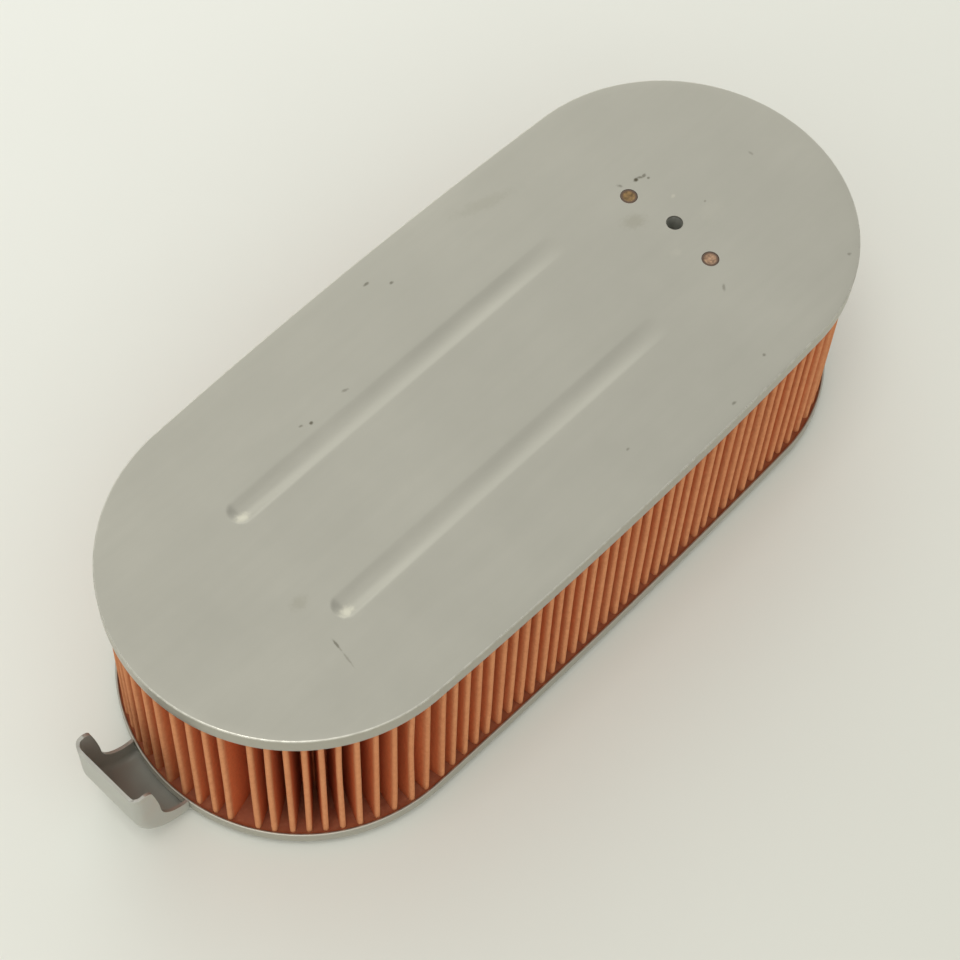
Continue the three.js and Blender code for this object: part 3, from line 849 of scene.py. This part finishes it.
# ---------------------------------------------------------------- materials
def plate_steel():
    """Satin plated sheet: faint patches, rolling grain along X, specks, stains, painted highlights at the
    grooves' tab ends, and a polished bend lightened by a painted highlight.
    """
    made, tree, shader, place = material_with("plated_sheet")
    patches = use(tree, cloud, Scale=22.0)
    grain = use(tree, cloud, Scale=260.0, Stretch=(0.12, 1, 1))
    fine = use(tree, cloud, Scale=1500.0)
    wear = use(tree, cloud, Scale=420.0)
    dots = use(tree, specks, Scale=90.0, Size=0.06)
    for effect in (patches, grain, fine, wear, dots):
        tree.links.new(place, effect.inputs["Vector"])
    colour = mix_colours(tree, patches.outputs[0], (0.432, 0.42, 0.36, 1), (0.472, 0.459, 0.394, 1))
    flecks = remap(tree, grain.outputs[0], 0, 1, 0.0, 0.35)
    colour = mix_colours(tree, flecks, colour, (0.413, 0.402, 0.343, 1))
    faint = combine(tree, "MULTIPLY", dots.outputs[0], 0.35)
    colour = mix_colours(tree, faint, colour, (0.2, 0.19, 0.16, 1))
    dark_marks = [
        (82.6, 19.5, 1.2, 1.0, 0, 0.95), (84.2, 19.3, 1.6, 0.7, 40, 0.6), (85.6, 18.9, 1.0, 0.8, 0, 0.6),
        (85.9, 17.4, 0.7, 0.6, 0, 0.6), (77.4, 21.5, 1.3, 0.8, 60, 0.5), (71.6, -25.2, 1.8, 0.7, -44, 0.4),
        (-47.3, 27.3, 0.9, 0.8, 0, 0.8), (-50, 28.6, 1.0, 0.6, 0, 0.5), (-32.8, 28.3, 1.6, 0.6, 15, 0.4),
        (-2.7, 50.1, 1.4, 0.6, 0, 0.6), (2.9, 45.2, 1.0, 0.7, 0, 0.6), (61.6, -49.1, 0.9, 0.7, 0, 0.5),
        (42.9, -53.5, 1.2, 0.6, 0, 0.5), (9.9, -42.1, 0.9, 0.6, 0, 0.4), (107.5, -44, 1.0, 0.8, 0, 0.45),
        (115.6, 1.4, 0.7, 1.2, 0, 0.3), (91.6, -0.6, 0.7, 0.5, 0, 0.4), (-90.7, -27.2, 0.5, 3, 8, 0.6),
        (-91.6, -32.5, 0.4, 4, 10, 0.3),
    ]
    colour = marked(tree, place, colour, dark_marks, (0.09, 0.08, 0.05, 1))
    pale_spots_and_highlights = [
        (86.1, 7.5, 1.2, 0.9, 0, 0.45), (70.9, -6.9, 3.0, 2.0, 20, 0.15), (90, -4, 7.0, 5.0, 0, 0.1),
    ]
    # Painted highlights: pale patches at the grooves' tab ends, where the end walls catch the light.
    pale_spots_and_highlights += [(-81.6, side / MM - 1.4, 3.4, 2.3, 0, 0.9) for side in GROOVE_SIDES]
    colour = marked(tree, place, colour, pale_spots_and_highlights, (0.60, 0.58, 0.48, 1))
    stains = [(70.6, 9.6, 5.5, 3.5, 30, 0.25), (-89, -11.3, 4.0, 3.0, 0, 0.2), (43, 46, 14, 3.0, 15, 0.15)]
    colour = marked(tree, place, colour, stains, (0.25, 0.23, 0.16, 1))
    # The bend is real polish and a painted highlight: its colour is lightened in patches and its roughness
    # lowered.
    bend = node(tree, "ShaderNodeAttribute", attribute_name="wear_and_highlight").outputs["Fac"]
    wear_and_highlight = combine(tree, "MULTIPLY", bend, remap(tree, wear.outputs[0], 0.2, 0.7, 0.3, 0.85))
    colour = mix_colours(tree, wear_and_highlight, colour, (0.64, 0.625, 0.55, 1))
    tree.links.new(colour, shader.inputs["Base Color"])
    shader.inputs["Metallic"].default_value = 0.8
    rough = remap(tree, patches.outputs[0], 0, 1, 0.36, 0.43)
    polish = combine(tree, "MULTIPLY", wear_and_highlight, -0.14)
    tree.links.new(combine(tree, "ADD", rough, polish), shader.inputs["Roughness"])
    height = combine(tree, "ADD", grain.outputs[0], fine.outputs[0])
    raise_surface(tree, shader, height, 0.02 * MM, 0.25)
    return made


def filter_paper():
    """Resin-treated paper: painted shade making the flanks darker and redder than the tips and the valleys
    darker still, fibres and a tint for each fold.
    """
    made, tree, shader, place = material_with("filter_paper")
    depth = node(tree, "ShaderNodeAttribute", attribute_name="depth").outputs["Fac"]
    tint = node(tree, "ShaderNodeAttribute", attribute_name="tint").outputs["Fac"]
    fibre = use(tree, cloud, Scale=850.0, Stretch=(1, 1, 0.6))
    blotch = use(tree, cloud, Scale=60.0, Stretch=(1, 1, 0.4))
    for effect in (fibre, blotch):
        tree.links.new(place, effect.inputs["Vector"])
    # Painted shade: the flanks, in the narrow gaps between folds, darker and redder than the tips.
    flank_shade = remap(tree, depth, 0.03, 0.14, 0.0, 1.0, True)
    colour = mix_colours(tree, flank_shade, (0.645, 0.288, 0.132, 1), (0.62, 0.138, 0.042, 1))
    # Painted shade, darkest deep in the valleys between folds.
    deeper = remap(tree, depth, 0.3, 1.0, 0.0, 0.6)
    colour = mix_colours(tree, deeper, colour, (0.42, 0.07, 0.02, 1))
    variety = remap(tree, tint, 0, 1, 0.0, 0.22)
    colour = mix_colours(tree, variety, colour, (0.52, 0.15, 0.054, 1))
    patches = remap(tree, blotch.outputs[0], 0, 1, 0.0, 0.25)
    colour = mix_colours(tree, patches, colour, (0.66, 0.30, 0.14, 1))
    threads = remap(tree, fibre.outputs[0], 0, 1, 0.0, 0.4)
    colour = mix_colours(tree, threads, colour, (0.42, 0.12, 0.045, 1))
    tree.links.new(colour, shader.inputs["Base Color"])
    shader.inputs["Roughness"].default_value = 0.9
    shader.inputs["Specular IOR Level"].default_value = 0.12
    raise_surface(tree, shader, fibre.outputs[0], 0.12 * MM, 0.6)
    return made


def adhesive():
    """Set adhesive: red-brown, slightly glossy, lumpy and dusty."""
    made, tree, shader, place = material_with("set_adhesive")
    lumps = use(tree, cloud, Scale=180.0)
    dust = use(tree, cloud, Scale=500.0)
    for effect in (lumps, dust):
        tree.links.new(place, effect.inputs["Vector"])
    colour = mix_colours(tree, lumps.outputs[0], (0.30, 0.08, 0.034, 1), (0.38, 0.12, 0.05, 1))
    dusty = remap(tree, dust.outputs[0], 0.5, 1, 0.0, 0.3)
    colour = mix_colours(tree, dusty, colour, (0.52, 0.22, 0.11, 1))
    tree.links.new(colour, shader.inputs["Base Color"])
    shader.inputs["Roughness"].default_value = 0.6
    raise_surface(tree, shader, lumps.outputs[0], 0.15 * MM, 0.5)
    return made


def gasket_foam():
    """Black foam rubber with fine open cells."""
    made, tree, shader, place = material_with("gasket_foam")
    cells = node(tree, "ShaderNodeTexVoronoi", feature="F1", Scale=1400.0)
    tree.links.new(place, cells.inputs["Vector"])
    pore = remap(tree, cells.outputs["Distance"], 0.1, 0.7)
    # Painted shade: the colour is darker towards each pore's middle.
    colour = mix_colours(tree, pore, (0.012, 0.012, 0.013, 1), (0.045, 0.045, 0.048, 1))
    tree.links.new(colour, shader.inputs["Base Color"])
    shader.inputs["Roughness"].default_value = 0.9
    raise_surface(tree, shader, pore, 0.1 * MM, 0.7)
    return made


def inner_steel(name, tone, rough):
    """Plain plated steel of the hidden parts, with patches and a fine drawn grain."""
    made, tree, shader, place = material_with(name)
    patches = use(tree, cloud, Scale=70.0)
    grain = use(tree, cloud, Scale=500.0, Stretch=(1, 1, 0.1))
    for effect in (patches, grain):
        tree.links.new(place, effect.inputs["Vector"])
    dark = tuple(0.8 * c for c in tone)
    colour = mix_colours(tree, patches.outputs[0], (*dark, 1), (*tone, 1))
    tree.links.new(colour, shader.inputs["Base Color"])
    shader.inputs["Metallic"].default_value = 0.9
    roughness = remap(tree, grain.outputs[0], 0, 1, rough - 0.07, rough + 0.07)
    tree.links.new(roughness, shader.inputs["Roughness"])
    raise_surface(tree, shader, grain.outputs[0], 0.02 * MM, 0.3)
    return made


def tab_steel():
    """Smooth pressed steel, darker and glossier, with scattered brown patches."""
    made, tree, shader, place = material_with("tab_steel")
    patches = use(tree, cloud, Scale=90.0)
    brown_patches = use(tree, cloud, Scale=45.0)
    for effect in (patches, brown_patches):
        tree.links.new(place, effect.inputs["Vector"])
    colour = mix_colours(tree, patches.outputs[0], (0.42, 0.42, 0.375, 1), (0.48, 0.48, 0.43, 1))
    brown = remap(tree, brown_patches.outputs[0], 0.5, 1.0, 0.0, 0.35)
    colour = mix_colours(tree, brown, colour, (0.38, 0.28, 0.22, 1))
    tree.links.new(colour, shader.inputs["Base Color"])
    shader.inputs["Metallic"].default_value = 0.5
    tree.links.new(remap(tree, patches.outputs[0], 0, 1, 0.33, 0.4), shader.inputs["Roughness"])
    return made


def weld_metal(name, x, y, warm):
    """Spot weld: a dark browned ring round a coppery, pitted middle."""
    made, tree, shader, place = material_with(name)
    offset = node(tree, "ShaderNodeVectorMath", operation="SUBTRACT")
    offset.inputs[1].default_value = (x, y, TOP)
    tree.links.new(place, offset.inputs[0])
    flat = node(tree, "ShaderNodeVectorMath", operation="MULTIPLY")
    flat.inputs[1].default_value = (1, 1, 0)
    tree.links.new(offset.outputs[0], flat.inputs[0])
    length = node(tree, "ShaderNodeVectorMath", operation="LENGTH")
    tree.links.new(flat.outputs[0], length.inputs[0])
    ring = remap(tree, length.outputs["Value"], 0.6 * WELD_RADIUS, 0.85 * WELD_RADIUS, 0, 1, True)
    flecks = use(tree, cloud, Scale=800.0)
    tree.links.new(place, flecks.inputs["Vector"])
    bright = tuple(3.6 * c for c in warm)
    middle = mix_colours(tree, flecks.outputs[0], (*warm, 1), (*bright, 1))
    colour = mix_colours(tree, ring, middle, (0.13, 0.085, 0.06, 1))
    tree.links.new(colour, shader.inputs["Base Color"])
    shader.inputs["Metallic"].default_value = 0.6
    shader.inputs["Roughness"].default_value = 0.45
    raise_surface(tree, shader, flecks.outputs[0], 0.05 * MM, 0.6)
    return made


# ---------------------------------------------------------------- assembly
sheet_metal = plate_steel()
hidden_metal = inner_steel("drawn_steel", (0.36, 0.35, 0.32), 0.42)
glue = adhesive()

build_top_plate(sheet_metal)
build_bottom_plate(sheet_metal)
build_paper(filter_paper(), PLATE_FLOOR + 1 * MM, TOP - SHEET - 1 * MM)
build_bed("filter_bottom_bed", "bottom_adhesive", BASE_OVAL, BED_LEVEL, PLATE_FLOOR + 0.05 * MM, 1, glue)
build_bed("filter_top_bed", "top_adhesive", TOP_OVAL, TOP - 4.2 * MM, TOP - SHEET - 0.05 * MM, -1, glue)
build_screen(inner_steel("perforated_sheet", (0.40, 0.39, 0.36), 0.4), PLATE_FLOOR + 0.3 * MM, TOP - 1.2 * MM)
build_gasket(gasket_foam())
build_tab(tab_steel())
build_sleeve(inner_steel("sleeve_zinc", (0.78, 0.78, 0.72), 0.6))
for index, (side, warm) in enumerate(((1, (0.10, 0.062, 0.026)), (-1, (0.16, 0.10, 0.062)))):
    word = "left" if side > 0 else "right"
    y = HOLE_Y + side * WELD_SPREAD
    metal = weld_metal(f"weld_{word}", WELD_X, y, warm)
    build_weld(
        f"filter_weld_{word}", f"flange_weld_{word}", WELD_X, y,
        TOP - 0.05 * MM, TOP - 1.9 * MM, 1.3 + index, metal,
    )
for name in ("sleeve_flange", "tab_weld_1", "tab_weld_2"):
    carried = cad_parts[name]
    carried.data.materials.clear()
    carried.data.materials.append(hidden_metal)


# ---------------------------------------------------------------- table, light and camera
def build_table():
    """A pale matt table top, with a painted light falloff that greys it towards -Y, and very faint cloudy
    patches.
    """
    made, tree, shader, place = material_with("pale_table")
    patches = use(tree, cloud, Scale=7.0)
    tree.links.new(place, patches.inputs["Vector"])
    split = node(tree, "ShaderNodeSeparateXYZ")
    tree.links.new(place, split.inputs[0])
    # Painted light falloff: the table darkens towards -Y, away from the room's bright side.
    across = remap(tree, split.outputs["Y"], -0.42, 0.42)
    colour = mix_colours(tree, across, (0.63, 0.63, 0.56, 1), (0.88, 0.89, 0.83, 1))
    faint = remap(tree, patches.outputs[0], 0, 1, 0.0, 0.08)
    colour = mix_colours(tree, faint, colour, (0.6, 0.6, 0.54, 1))
    tree.links.new(colour, shader.inputs["Base Color"])
    shader.inputs["Roughness"].default_value = 0.5
    points = np.array([(-3, -3, 0), (3, -3, 0), (3, 3, 0), (-3, 3, 0)], dtype=float)
    table = new_object("table", points, np.array([[0, 1, 2, 3]]))
    table.data.materials.append(made)


def add_softbox(name, place, aim, size, power, colour):
    """A square area light that faces a point."""
    light = bpy.data.lights.new(name, "AREA")
    light.size = size
    light.energy = power
    light.color = colour
    box = bpy.data.objects.new(name, light)
    box.location = place
    direction = np.array(place) - np.array(aim)
    flat = math.hypot(direction[0], direction[1])
    box.rotation_euler = (math.atan2(flat, direction[2]), 0, math.atan2(direction[0], -direction[1]))
    bpy.context.scene.collection.objects.link(box)


def set_light():
    """A soft room: even all round, a bright side, two soft fills opposite and a lamp above.

    Each side adds its colour times (d . side) to a power, where d is the direction looked in.
    """
    world = bpy.data.worlds.new("room")
    world.use_nodes = True
    tree = world.node_tree
    direction = node(tree, "ShaderNodeTexCoord").outputs["Generated"]
    sky = (0.49, 0.49, 0.475, 1)
    sides = (
        ((0.50, 0.78, 0.37), 4, (1.0, 1.01, 0.99, 1)),
        ((-0.75, -0.45, 0.48), 2, (0.72, 0.72, 0.70, 1)),
        ((-0.40, -0.55, 0.73), 3, (0.30, 0.30, 0.295, 1)),
    )
    for side, power, colour in sides:
        lean = node(tree, "ShaderNodeVectorMath", operation="DOT_PRODUCT")
        tree.links.new(direction, lean.inputs[0])
        lean.inputs[1].default_value = side
        near = combine(tree, "POWER", remap(tree, lean.outputs["Value"], 0, 1), power)
        glow = mix_colours(tree, near, (0, 0, 0, 1), colour)
        sky = mix_colours(tree, 1.0, sky, glow, "ADD")
    tree.links.new(sky, tree.nodes["Background"].inputs["Color"])
    bpy.context.scene.world = world
    add_softbox("overhead", (-0.40, 0.0, 1.6), (0, 0, 0), 0.5, 3.8, (1.0, 0.99, 0.96))


def set_camera():
    """A long lens above the tab end's -Y side."""
    camera = bpy.data.cameras.new("camera")
    camera.sensor_width = 36
    camera.lens = 82
    camera.clip_start = 0.01
    holder = bpy.data.objects.new("camera", camera)
    holder.location = (-0.2520, -0.2134, 0.6046)
    holder.rotation_euler = tuple(math.radians(angle) for angle in (29.685, -2.212, -46.368))
    bpy.context.scene.collection.objects.link(holder)
    bpy.context.scene.camera = holder


build_table()
set_light()
set_camera()
bpy.context.scene.view_settings.view_transform = "Standard"
